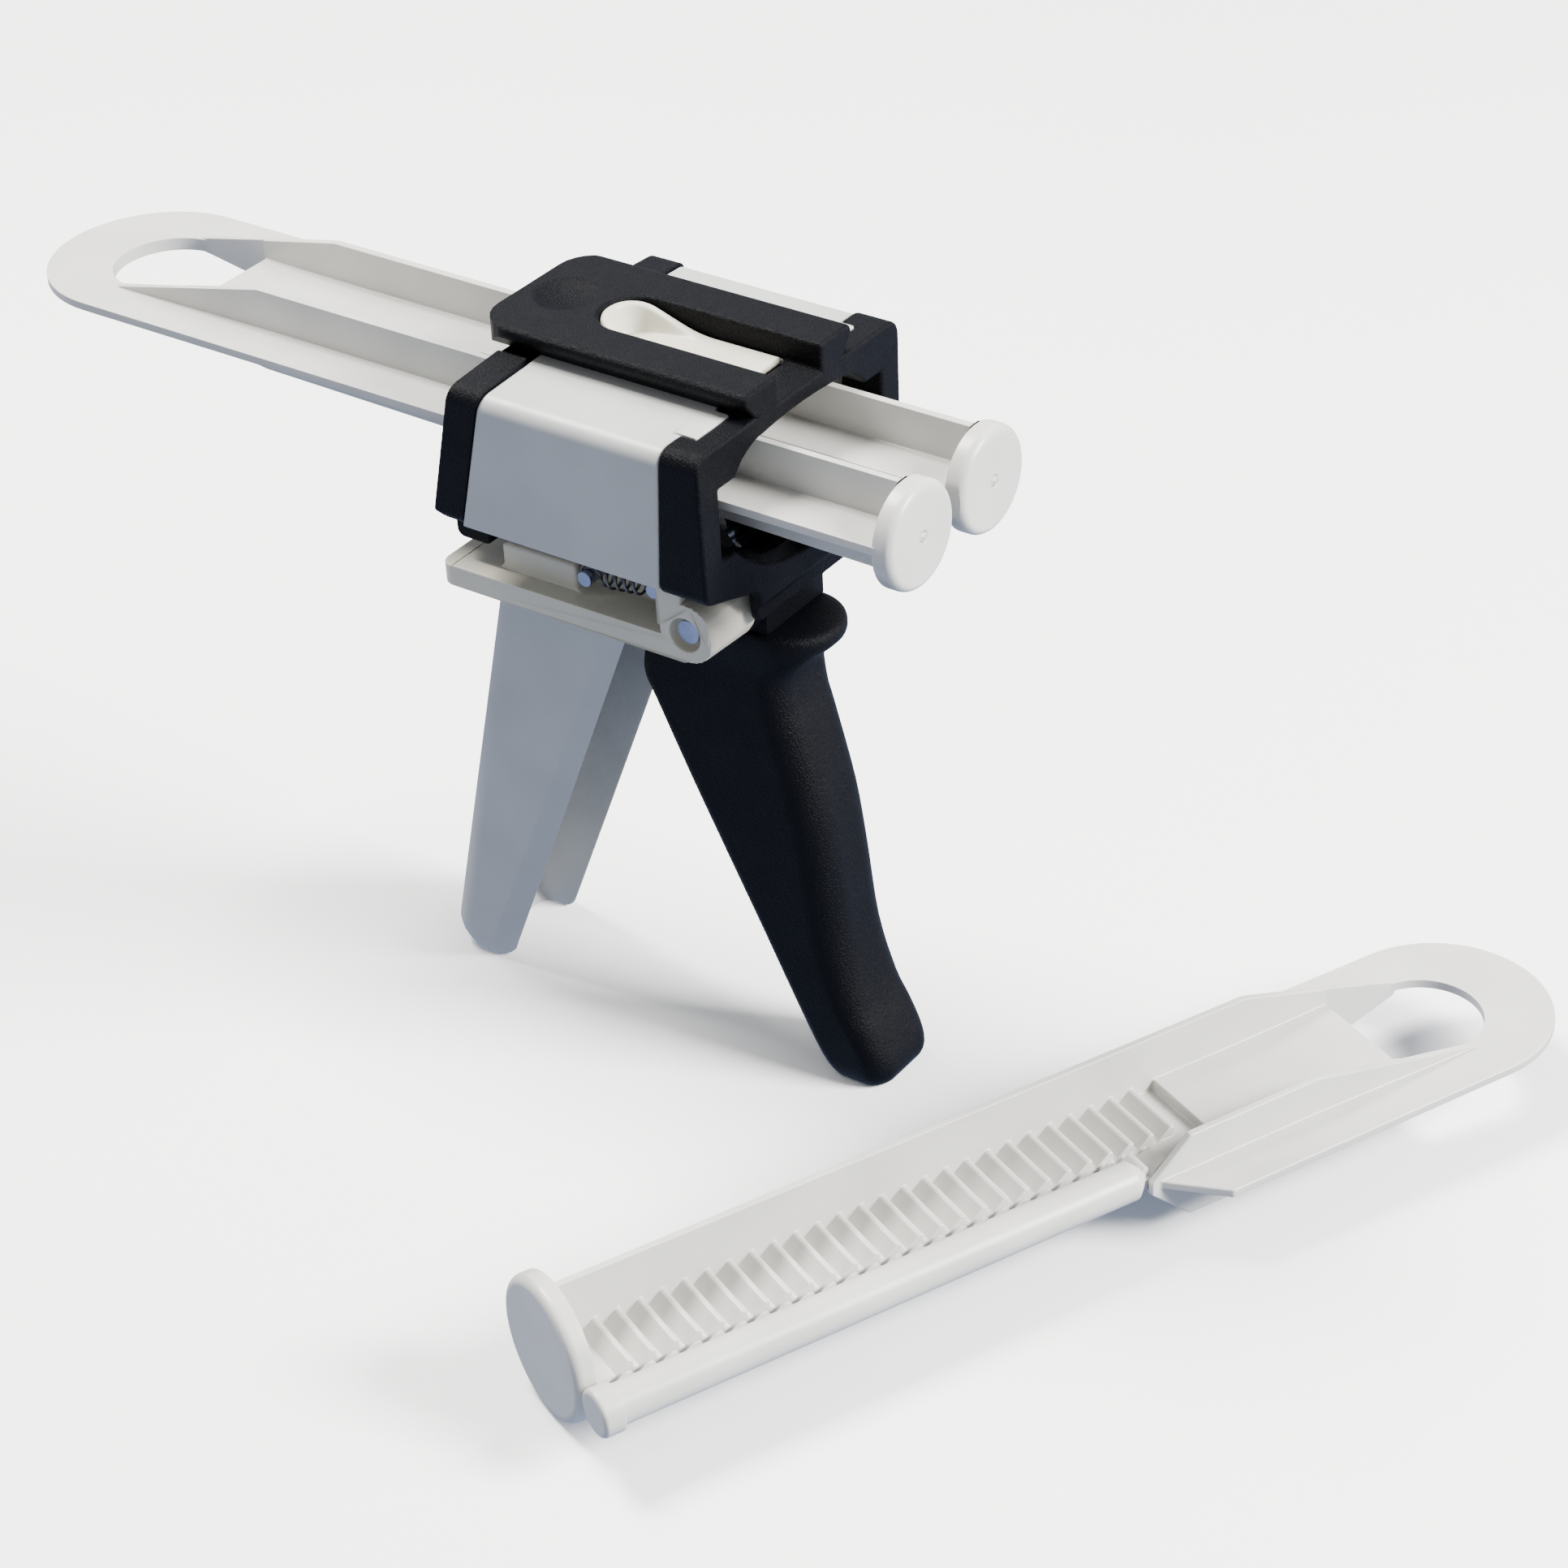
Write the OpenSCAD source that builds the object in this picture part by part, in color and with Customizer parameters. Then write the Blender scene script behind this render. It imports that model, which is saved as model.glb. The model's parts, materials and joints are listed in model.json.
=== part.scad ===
// Dual cartridge dispensing tool, with the plunger for two equal barrels in
// place and a second plunger, for one large and one small barrel, beside it.
// +X is the way the plunger pushes, +Z is up. The origin is on the front face,
// on the middle plane, in the land under the cartridge opening.

/* [Barrels] */
// Diameter of the two equal plunger discs
disc_d = 18; // [16.5:0.1:18.5]
// Distance between the two barrel axes
axis_pitch = 20.06; // [19.6:0.02:20.6]
// Height of the barrel axes over the seat point
axis_rise = 17.4; // [16:0.1:19]
// How far the plunger stands out of the front face as drawn
plunger_out = 29; // [10:1:50]

/* [Plunger] */
// Overall length of a plunger
plunger_length = 185; // [180:0.1:190]
// Half width of the rear plate, which is also its end radius
plate_half = 19; // [18.6:0.1:19.8]
// Thickness of the plate in its middle
plate_t = 2.3; // [2:0.05:2.4]
// Thickness of the plate at its edge
plate_edge_t = 1.55; // [1.2:0.05:1.8]
// Top of the plate over the barrel axes
plate_up = 1.7; // [1.4:0.05:1.8]
// Inner face of a long wall from the middle plane
wall_in = 9.4; // [8.6:0.1:9.8]
// Thickness of a long wall
wall_t = 1.3; // [1:0.1:1.4]
// Top of a long wall over the barrel axes
wall_up = 8.85; // [7:0.05:8.9]
// Foot of a long wall under the barrel axes, next to the disc
wall_down = 7.8; // [6:0.05:7.9]
// Distance from the rear end to the knee where the walls start to fall
knee_in = 52.5; // [50:0.5:56]
// Distance from the rear end to the end of the walls
wall_end_in = 20.4; // [19:0.1:24]
// Rack tooth pitch
rack_pitch = 4; // [3.5:0.1:4.5]
// Depth of the rack teeth
rack_deep = 2; // [1.5:0.1:2]
// Number of rack teeth
rack_count = 27; // [20:1:28]
// Half width of the hanging eye
eye_half = 10.1; // [8:0.1:10.5]
// Length of the hanging eye
eye_long = 23.1; // [21:0.1:25]
// Width of the plate behind the hanging eye
eye_rim = 12.4; // [10:0.1:14]
// Length of the slit that parts the two rods
rod_split = 95; // [92:1:100]

/* [Front frame] */
// Overall width of the frame
frame_w = 55.2; // [54:0.1:58]
// Top of the frame over the barrel axes
frame_up = 13.2; // [12.8:0.1:14]
// Foot of the frame posts under the barrel axes
frame_down = 12.7; // [12:0.1:14]
// Depth of a post at its top
frame_depth_top = 7.3; // [6:0.1:8]
// Depth of a post at its foot
frame_depth_low = 9.4; // [8.5:0.1:10]
// Half width of the opening
opening_half = 22.2; // [21:0.1:23]
// Radius of the bowl in the lower edge of the opening
bowl_r = 24.8; // [24:0.1:27]
// Bottom of the opening under the barrel axes
opening_down = 15.3; // [14.5:0.1:15.6]
// Half width of the horseshoe
shoe_half = 14.5; // [13.5:0.1:16]
// Top of the horseshoe over the barrel axes
shoe_up = 18; // [17:0.1:19]
// Distance from the front face to the rear of the horseshoe
shoe_back = 53; // [50:0.5:56]
// Half width of the horseshoe's slot
slot_half = 5.9; // [5.5:0.1:6.5]
// Distance from the front face to the round end of the slot
slot_back = 37.5; // [34:0.5:40]

/* [Cover and band] */
// Top of the cover over the barrel axes
cover_up = 13.4; // [13.2:0.1:14.2]
// Wall of the cover
cover_t = 1.8; // [1.5:0.1:2]
// Foot of the cover under the barrel axes
cover_down = 12.4; // [12:0.1:13]
// Distance from the front face to the rear edge of the cover at its top
cover_back_top = 42; // [40:0.5:44]
// Distance from the front face to the rear edge of the cover at its foot
cover_back_low = 48.5; // [47:0.5:50]
// Thickness of the rear band along the tool
band_t = 6; // [5:0.1:7]

/* [Tray and grip] */
// Distance from the front face back to the trigger pivot
pivot_back = 8.9; // [8.5:0.1:9.5]
// Drop of the trigger pivot under the barrel axes
pivot_down = 23.1; // [22.5:0.1:24]
// Radius of the pivot pin
pivot_r = 2; // [1.5:0.1:2.2]
// Radius of the pivot ears
ear_r = 5.6; // [5.2:0.1:5.8]
// Half width of the tray across the ears
tray_half = 22; // [21:0.1:22.8]
// Top of the tail plate under the barrel axes
tail_down = 24.5; // [24:0.1:25]
// Thickness of the tail plate
tail_t = 3.9; // [3:0.1:4.2]
// Distance from the front face to the rear edge of the tail plate
tail_back = 59; // [57:0.5:62]
// Half width of the grip
grip_half = 10.8; // [10:0.1:12]
// Wall of the grip
grip_t = 2.2; // [1.8:0.1:2.3]
// Drop of the feet of both handles under the barrel axes
foot_down = 114.5; // [108:0.5:120]

/* [Trigger] */
// Half width of the trigger at its flange
trigger_half = 8.75; // [8:0.05:9]
// Radius of the trigger hub
hub_r = 5.8; // [5:0.1:5.8]
// Distance from the pivot to the drive pawl's pin
arm_length = 18; // [17.6:0.1:18.2]
// Angle of the trigger arm behind upright
arm_lean = 41.8; // [41:0.1:43]

/* [Second plunger] */
// Diameter of its large disc
large_d = 24.4; // [22:0.1:25]
// Diameter of its small disc
small_d = 8; // [7:0.1:9]
// Distance between its two barrel axes
spare_pitch = 17; // [16.4:0.1:18]
// Angle of its length from the tool's length, seen from above
spare_turn = 246; // [230:0.1:260]
// Place of its disc face ahead of the tool's front face
spare_x = 24; // [10:1:35]
// Place of its disc face to the side of the middle plane
spare_y = -104; // [-120:1:-95]

/* [Hidden] */

$fn = 64;
// overrun of every cut past the face it opens
over = 1;
// how far a form reaches into the piece that it grows from
sink = 1;
// gap between pieces that move past each other
run_gap = 0.3;
// radial gap of a pin in the bore that turns on it
pin_gap = 0.05;
// steps in each rounded corner of an outline
arc_steps = 6;

// colours
ink = "#23252e";
pale_grey = "#d9dcdf";
cream = "#e6e3d6";
off_white = "#eceae2";
steel = "#9aa3b5";

// barrels and discs
axis_y = axis_pitch / 2;
disc_r = disc_d / 2;
disc_band = 2.07;
disc_nose_r = 1.5;
disc_t = disc_band + disc_nose_r;

// plunger
plate_down = plate_t - plate_up;
plate_edge_w = 2.2;
rack_down = plate_down + rack_deep;
slit_half = 1.3;
root_t = 0.5;
rod_start = disc_t - root_t;
wall_low_fall = 1.7;
wall_spread = 0.7;
wall_end_rise = 0.1;
wall_end_up = plate_up + wall_end_rise;
knee_back = plunger_length - knee_in;
wall_back = plunger_length - wall_end_in;
eye_back = plunger_length - eye_rim;
eye_front = eye_back - eye_long;
rack_in = 2.4;
rack_out = 8.4;
rack_start = 4.5;
tooth_land_share = 0.2;

// front frame
frame_half = frame_w / 2;
frame_taper = 0.5;
frame_corner = 2.6;
frame_foot_r = 2;
chin_half = 13.5;
chin_down = 16.9;
tongue_half = 13;
tongue_down = 23.5;
tongue_t = 2.5;
lip_start = 19.6;
lip_set = 1;
opening_up = 5.7;
haunch_gap = 0.7;
crown_up = 10.3;
crown_r = 84;
ledge_down = 6.4;
ledge_half = 19.2;
arm_pocket = 4.5;
shoe_foot_half = 12;
shoe_bevel_up = 16.2;
shoe_edge_r = 1.2;
shoe_corner = 6.5;
dish_deep = 1.1;
dish_half = 6;
dish_r = (dish_half * dish_half + dish_deep * dish_deep) / (2 * dish_deep);
dish_x = -(shoe_back + slot_back) / 2;
pocket_half = 3.3;
pocket_up = 12.4;
pocket_front = 1.5;

// cover and band
cover_half = frame_half;
cover_side_t = 2.2;
cover_inside = cover_half - cover_side_t;
cover_slope_half = 12;
cover_fall = 0.9;
roof_down = cover_up - cover_t;
tab_in = 12.6;
tab_out = 21.5;
tab_long = 2.9;
tab_t = 1.2;
tab_gap = 0.15;
band_rise = 0.9;
band_proud = 0.18;
band_window_gap = 0.6;
band_window_half = plate_half + band_window_gap;
band_window_up = wall_up + band_window_gap;
band_window_down = wall_down + band_window_gap;
band_foot_r = 1.5;

// cartridge latch and its spring
latch_pin_r = 0.7;
latch_pin_x = -20;
latch_pin_up = 12.5;
latch_pin_half = 8.5;
latch_floor_up = 14;
latch_under = 12.2;
latch_half = slot_half - run_gap;
latch_boss_r = 1.6;
latch_rim = 1.7;
latch_rim_up = 17.8;
latch_scoop_long = 8.5;
latch_tongue_half = 3;
latch_tongue_up = 11.2;
latch_tongue_down = 10;
latch_tongue_end = 2.1;
latch_hook_down = 8.8;
latch_hook_t = 1.9;
trough_half = 7.4;
trough_down = 9.6;
trough_floor_up = 10.8;
trough_front = 9.6;
trough_back = 40;
cup_x = -31;
cup_r = 3.4;
cup_t = 0.7;
cup_down = 4.6;
latch_spring_r = 1.9;
latch_wire = 0.5;
latch_curls = 5;

// tray
pivot_x = -pivot_back;
ear_in = 10;
ear_edge = 1.3;
ear_recess_r = 3;
ear_recess = 2.2;
pivot_pin_half = tray_half - ear_recess / 2;
tail_bottom = tail_down + tail_t;
tail_corner = 2.5;
tail_gap_half = ear_in;
tail_gap_back = 36;
web_in = 11.3;
web_out = 13.5;
web_front = 11;
web_back = 46.4;
web_back_low = 48;
web_low_front = 21;
web_shelf = 13;
deck_up = -11.4;
deck_t = 1.8;
deck_front = 12;
strip_in = 16.4;
strip_out = 18;
strip_up = -19.8;
strip_front = 33.4;
strip_back = 48.6;
cheek_in = 20.2;
cheek_front = 9.8;
cheek_back = 14.3;

// grip
grip_top_front = 27.9;
grip_top_back = 56.7;
grip_low_front = 61.8;
grip_low_back = 75.8;
grip_foot_r = 5;
grip_foot_parts = 4;
grip_back_r = 5;
grip_front_r = 1;
grip_bevel = 2;
grip_bevel_long = 3.6;

// trigger
arm_in = 4.5;
arm_out = 6.6;
arm_r = 2.6;
arm_root_r = 3.6;
hub_half = 9.7;
neck_half = 7.9;
flange_up = -28.8;
pawl_pin_r = 1;
drive_pin_x = pivot_x - arm_length * sin(arm_lean);
drive_pin_z = -pivot_down + arm_length * cos(arm_lean);
drive_pin_half = wall_in - run_gap;
nose_half = 8;
nose_x = -13;
nose_up = -3.32;
nose_long = 2.6;
nose_fall = 1;
nose_t = 2.2;
drive_back_turn = 53;
drive_low_turn = -37;
drive_wide_start = 3.9;
drive_hub_half = arm_in - run_gap;
pawl_hub_r = 2.3;
bar_r = 1.2;
bar_x = -17;
bar_z = -19;
bar_half = 19.2;
bar_boss_r = 2.6;

// holding pawl and release lever
hold_pin_x = -32;
hold_pin_z = -9.5;
hold_nose_x = -22.9;
hold_nose_up = -2.95;
hold_nose_long = 1.8;
hold_back_turn = 60;
hold_low_turn = -66;
hold_tail = 6.4;
hold_tail_up = 2.6;
hold_tail_down = 4.2;
release_finger = 6.6;
release_finger_up = 2.2;
release_finger_t = 1.3;
release_pin_x = -45;
release_pin_z = -16.5;
pad_half = 19;
pad_front = -50;
pad_back = -57;
pad_up = -16;
pad_down = -20.5;
pad_rib_t = 0.7;
pad_rib_pitch = 1.6;
pad_rib_in = 1;
pad_front_r = 1;
pad_back_r = 1.5;

// springs
anchor_x = -30.4;
anchor_z = -20.6;
anchor_r = 1.3;
anchor_half = 19.6;
spring_y = 17.9;
spring_wire = 0.6;
spring_coil_r = 1.6;
spring_curls = 5;
twist_wire = 0.4;
twist_coil_r = 1.6;
twist_curls = 2;
twist_gap = 0.5;
twist_pitch = twist_wire + twist_gap;
twist_leg = 3;
twist_stand = 0.4;
wire_sides = 6;
curl_rings = 8;

// second plunger
large_r = large_d / 2;
small_r = small_d / 2;
large_y = 9.8;
small_y = large_y - spare_pitch;
spare_rod_r = 3.3;
spare_wall_up = large_r - run_gap;
spare_wall_down = large_r - disc_nose_r / 2;
spare_wall_fall = 0.4;
spare_near_down = 7.3;
near_wall_long = 85.5;
spare_near_start = plunger_length - near_wall_long;
spare_near_slope = 7.6;
spare_corner_in = 1.9;
spare_corner = spare_near_start - spare_corner_in;
spare_plate_t = 1.6;
spare_rack_in = -2.4;
spare_slit_in = -3.5;
cell_in = -8.2;
cell_deep = 1.5;
spare_rack_start = 9.8;
spare_rack_count = 26;
floor_z = -foot_down;

// helpers for outlines: a point is [x, y, corner radius]
function unit(v) = v / norm(v);
function flat(p) = [p[0], p[1]];
function corner(a, b, c, r) = r == 0 ? [b] :
    let (
        u = unit(a - b),
        v = unit(c - b),
        half = acos(u * v) / 2,
        mid = b + unit(u + v) * r / sin(half),
        p = b + u * r / tan(half) - mid,
        q = b + v * r / tan(half) - mid,
        way = p[0] * q[1] - p[1] * q[0] > 0 ? 1 : -1,
        turn = way * (180 - 2 * half)
    )
    [for (i = [0:arc_steps]) let (w = turn * i / arc_steps)
        mid + [p[0] * cos(w) - p[1] * sin(w), p[0] * sin(w) + p[1] * cos(w)]];
function rounded(path) = let (n = len(path))
    [for (i = [0:n - 1])
        each corner(flat(path[(i + n - 1) % n]), flat(path[i]), flat(path[(i + 1) % n]), path[i][2])];
function mirrored(half) = concat(half, [for (i = [len(half) - 1:-1:0]) [-half[i][0], half[i][1], half[i][2]]]);

// an outline in (x, z) drawn across the tool, between two y places
module across(y0, y1) translate([0, y1, 0]) rotate([90, 0, 0]) linear_extrude(y1 - y0) children();
// an outline in (y, z) drawn along the tool, between two x places
module along(x0, x1) translate([x0, 0, 0]) rotate([90, 0, 90]) linear_extrude(x1 - x0) children();
module slab(x0, x1, y0, y1, z0, z1) translate([x0, y0, z0]) cube([x1 - x0, y1 - y0, z1 - z0]);
module rod_y(r, x, z, y0, y1) translate([x, y0, z]) rotate([-90, 0, 0]) cylinder(r = r, h = y1 - y0);
module both_sides() {
    children();
    mirror([0, 1, 0]) children();
}
module at_axis() translate([0, 0, axis_rise]) children();

// a wire along a path of points: each ring stands square to the path
function path_way(p, i) = unit(p[min(i + 1, len(p) - 1)] - p[max(i - 1, 0)]);
function ring(at, way, side, r) =
    let (a = unit(cross(way, side)), b = cross(way, a))
    [for (k = [0:wire_sides - 1]) let (w = 360 * k / wire_sides) at + r * (a * cos(w) + b * sin(w))];
module wire(p, r, side) {
    n = len(p);
    s = wire_sides;
    rings = [for (i = [0:n - 1]) each ring(p[i], path_way(p, i), side(i), r)];
    walls = [for (i = [0:n - 2], k = [0:s - 1])
        each [[i * s + k, i * s + (k + 1) % s, (i + 1) * s + k],
            [i * s + (k + 1) % s, (i + 1) * s + (k + 1) % s, (i + 1) * s + k]]];
    ends = [for (k = [1:s - 2]) each [[0, k + 1, k], [(n - 1) * s, (n - 1) * s + k, (n - 1) * s + k + 1]]];
    polyhedron(rings, concat(walls, ends));
}
// least gap between parts of a wire that are more than half a curl apart
function self_gap(p, d) = min([for (i = [0:len(p) - 1], j = [i + curl_rings - 2:1:len(p) - 1])
    if (j < len(p)) norm(p[i] - p[j])]) - d;

// front frame with the horseshoe, one moulding
module frame_outline() polygon(rounded(mirrored([
    [frame_half, frame_up, frame_corner],
    [frame_half - frame_taper, -frame_down, frame_foot_r],
    [chin_half, -chin_down, frame_foot_r],
    [tongue_half, -tongue_down, frame_foot_r]
])));
module opening_outline() {
    translate([-opening_half, -ledge_down]) square([2 * opening_half, ledge_down + opening_up]);
    intersection() {
        translate([0, bowl_r - opening_down]) circle(r = bowl_r);
        translate([-ledge_half, -opening_down]) square([2 * ledge_half, opening_down]);
    }
    for (s = [-1, 1]) translate([s * axis_y, 0]) circle(r = disc_r + haunch_gap);
    intersection() {
        translate([0, crown_up - crown_r]) circle(r = crown_r);
        translate([-axis_y, 0]) square([axis_pitch, crown_up]);
    }
}
module frame_side() polygon([
    [0, shoe_up], [-frame_depth_top, shoe_up], [-frame_depth_top, frame_up], [-frame_depth_low, -frame_down],
    [-frame_depth_low, -chin_down], [-tongue_t, -chin_down], [-tongue_t, -tongue_down],
    [-lip_set, -tongue_down], [-lip_set, -lip_start - lip_set], [0, -lip_start]
]);
module shoe_plan() polygon(rounded([
    [0, shoe_half, 0], [-shoe_back, shoe_half, shoe_corner],
    [-shoe_back, -shoe_half, shoe_corner], [0, -shoe_half, 0]
]));
module shoe_section() polygon(rounded(mirrored([
    [shoe_half, shoe_up, shoe_edge_r], [shoe_half, shoe_bevel_up, shoe_edge_r / 2],
    [shoe_foot_half, cover_up, 0]
])));
module front_frame() color(ink) at_axis() {
    difference() {
        union() {
            intersection() {
                along(-frame_depth_low, 0) frame_outline();
                across(-frame_half, frame_half) frame_side();
            }
            intersection() {
                translate([0, 0, cover_up]) linear_extrude(shoe_up - cover_up) shoe_plan();
                along(-shoe_back, 0) shoe_section();
            }
            slab(-frame_depth_top, 0, -shoe_foot_half, shoe_foot_half,
                opening_up + haunch_gap + disc_r / 2, cover_up);
        }
        along(-frame_depth_low - over, over) opening_outline();
        slab(-slot_back + slot_half, over, -slot_half, slot_half, frame_up, shoe_up + over);
        translate([-slot_back + slot_half, 0, frame_up])
            cylinder(r = slot_half, h = shoe_up - frame_up + over);
        translate([dish_x, 0, shoe_up - dish_deep + dish_r]) sphere(r = dish_r);
        slab(-frame_depth_low - over, -arm_pocket, -ear_in, ear_in, -chin_down - over, over - opening_down);
        slab(-frame_depth_top - over, -pocket_front, -pocket_half, pocket_half, latch_hook_down, pocket_up);
        both_sides() slab(-frame_depth_top - over, -frame_depth_top + tab_long + tab_gap,
            tab_in - tab_gap, tab_out + tab_gap, frame_up - tab_t - tab_gap, cover_up + tab_gap);
    }
}

// saddle cover with the trough and spring cup of the latch
module cover_outline() polygon(rounded(mirrored([
    [cover_slope_half, cover_up, 0],
    [cover_half, cover_up - cover_fall, frame_corner],
    [cover_half - frame_taper, -cover_down, 0]
])));
module cover_hollow() polygon(rounded(mirrored([
    [cover_slope_half, roof_down, 0],
    [cover_inside, roof_down - cover_fall, cover_t / 2],
    [cover_inside, -cover_down - over, 0]
])));
module cover_side() polygon([
    [-frame_depth_top, cover_up + over], [-frame_depth_top, frame_up], [-frame_depth_low, -frame_down],
    [-cover_back_low, -cover_down], [-cover_back_top, cover_up], [-cover_back_top, cover_up + over]
]);
module saddle_cover() color(pale_grey) at_axis() {
    difference() {
        union() {
            intersection() {
                along(-cover_back_low, -frame_depth_top) difference() {
                    cover_outline();
                    cover_hollow();
                }
                across(-cover_half, cover_half) cover_side();
            }
            slab(-trough_back, -trough_front, -trough_half, trough_half,
                trough_down, roof_down + cover_t / 2);
            translate([cup_x, 0, cup_down]) cylinder(r = cup_r, h = trough_down - cup_down);
            both_sides() slab(-frame_depth_top - tab_t, -frame_depth_top + tab_long,
                tab_in, tab_out, frame_up - tab_t, frame_up);
        }
        slab(-slot_back - 2 * run_gap, -frame_depth_top + over, -slot_half, slot_half,
            trough_floor_up, cover_up + over);
        translate([cup_x, 0, cup_down + cup_t]) cylinder(r = cup_r - cup_t, h = cover_up);
        slab(latch_pin_x - latch_boss_r - 2 * run_gap, latch_pin_x + latch_boss_r + 2 * run_gap,
            -slot_half, slot_half, trough_down - over, cover_up);
        rod_y(latch_pin_r, latch_pin_x, latch_pin_up, -latch_pin_half, latch_pin_half);
        slab(-trough_front - over, -frame_depth_top + over, -slot_half, slot_half,
            roof_down - over, cover_up);
    }
}

// rear band round the plunger
module band_outline() polygon(rounded(mirrored([
    [cover_slope_half, cover_up + band_rise, 0],
    [frame_half + band_proud, cover_up - cover_fall + band_rise / 2, frame_corner],
    [frame_half - frame_taper, -cover_down, frame_foot_r]
])));
module band_side() polygon(rounded([
    [-cover_back_top, cover_up, 0], [-cover_back_low, -cover_down, 0],
    [-cover_back_low - band_t / 2, -cover_down, 0],
    [-cover_back_low - band_t + run_gap, -cover_down + band_foot_r, 0],
    [-cover_back_top - band_t, cover_up + band_rise, 0],
    [-cover_back_top, cover_up + band_rise, 0]
]));
module rear_band() color(ink) at_axis() {
    difference() {
        intersection() {
            along(-cover_back_low - band_t, -cover_back_top) band_outline();
            across(-frame_half - over, frame_half + over) band_side();
        }
        along(-cover_back_low - band_t - over, -cover_back_top + over)
            translate([-band_window_half, -band_window_down])
                square([2 * band_window_half, band_window_down + band_window_up]);
        slab(-shoe_back - over, over, -shoe_half - run_gap, shoe_half + run_gap, cover_up, shoe_up);
    }
}

// guide tray with the tail plate and the pivot ears
module tail_plan() polygon(rounded([
    [pivot_x, tray_half, 0], [-tail_back, tray_half, tail_corner],
    [-tail_back, -tray_half, tail_corner], [pivot_x, -tray_half, 0]
]));
module web_side() polygon([
    [-web_front, -plate_down - run_gap], [-web_back, -plate_down - run_gap],
    [-web_back, -web_shelf], [-web_back_low, -web_shelf],
    [-web_back_low, -tail_down], [-web_low_front, -tail_down],
    [-web_low_front, -web_shelf], [-web_front, -web_shelf]
]);
module ear() {
    translate([pivot_x, ear_in, -pivot_down]) rotate([-90, 0, 0]) rotate_extrude() polygon(rounded([
        [0, 0, 0], [ear_r, 0, 0], [ear_r, tray_half - ear_in, ear_edge], [0, tray_half - ear_in, 0]
    ]));
}
module guide_tray() color(cream) at_axis() {
    difference() {
        union() {
            translate([0, 0, -tail_bottom]) linear_extrude(tail_t) difference() {
                tail_plan();
                translate([-tail_gap_back, -tail_gap_half])
                    square([tail_gap_back + over, 2 * tail_gap_half]);
            }
            both_sides() {
                ear();
                across(web_in, web_out) web_side();
                slab(-strip_back, -strip_front, strip_in, strip_out, -tail_down - tail_t / 2, strip_up);
                slab(-web_back, -deck_front, web_in, cover_inside, deck_up - deck_t, deck_up);
                slab(-cheek_back, -cheek_front, cheek_in, tray_half, -pivot_down, deck_up);
            }
        }
        rod_y(pivot_r, pivot_x, -pivot_down, -tray_half - over, tray_half + over);
        both_sides() rod_y(ear_recess_r, pivot_x, -pivot_down, tray_half - ear_recess, tray_half + over);
        rod_y(anchor_r, anchor_x, anchor_z, -web_out - over, web_out + over);
        rod_y(pawl_pin_r, hold_pin_x, hold_pin_z, -web_out - over, web_out + over);
        rod_y(pawl_pin_r, release_pin_x, release_pin_z, -web_out - over, web_out + over);
    }
}

// grip, a channel open towards the trigger
module grip_slice(down, front, back, half, back_r) translate([0, 0, -down]) linear_extrude(root_t)
    polygon(rounded([
        [-front, half - grip_bevel, 0], [-front - grip_bevel_long, half, 0], [-back, half, back_r],
        [-back, -half, back_r], [-front - grip_bevel_long, -half, 0], [-front, -half + grip_bevel, 0]
    ]));
// a slice of the rounded foot: how far it is above the foot, and how far in from the rear and from the sides
module grip_foot_slice(above, in_back, in_side)
    grip_slice(foot_down - above, grip_low_front + in_back / 2, grip_low_back - in_back,
        grip_half - in_side, grip_back_r);
module grip_core_slice(down, front, back) translate([0, 0, -down]) linear_extrude(root_t)
    polygon(rounded([
        [-front, grip_half - grip_t, 0], [-back, grip_half - grip_t, grip_back_r / 2],
        [-back, grip_t - grip_half, grip_back_r / 2], [-front, grip_t - grip_half, 0]
    ]));
module grip() color(pale_grey) at_axis() {
    difference() {
        hull() {
            grip_slice(tail_bottom + root_t, grip_top_front, grip_top_back, grip_half, grip_back_r);
            for (i = [0:grip_foot_parts]) let (w = 90 * i / grip_foot_parts)
                grip_foot_slice(grip_foot_r * (1 - sin(w)), grip_foot_r * (1 - cos(w)), grip_front_r * (1 - cos(w)));
        }
        hull() {
            grip_core_slice(tail_bottom - over, grip_top_front - 2 * grip_t, grip_top_back - grip_t);
            grip_core_slice(foot_down - grip_foot_r, grip_low_front - 2 * grip_t, grip_low_back - grip_t);
            grip_core_slice(foot_down + over, grip_low_front - 2 * grip_t, grip_low_back - grip_foot_r - grip_t);
        }
    }
}

// plain round pins
module pivot_pin() color(steel) at_axis()
    rod_y(pivot_r, pivot_x, -pivot_down, -pivot_pin_half, pivot_pin_half);
module spring_anchor_pin() color(steel) at_axis()
    rod_y(anchor_r, anchor_x, anchor_z, -anchor_half, anchor_half);
module holding_pawl_pin() color(steel) at_axis()
    rod_y(pawl_pin_r, hold_pin_x, hold_pin_z, -web_out, web_out);
module release_pin() color(steel) at_axis()
    rod_y(pawl_pin_r, release_pin_x, release_pin_z, -web_out, web_out);
module latch_pin() color(steel) at_axis()
    rod_y(latch_pin_r, latch_pin_x, latch_pin_up, -latch_pin_half, latch_pin_half);
module drive_pawl_pin() color(steel) at_axis()
    rod_y(pawl_pin_r, drive_pin_x, drive_pin_z, -drive_pin_half, drive_pin_half);
module spring_bar() color(steel) at_axis() rod_y(bar_r, bar_x, bar_z, -bar_half, bar_half);

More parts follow.
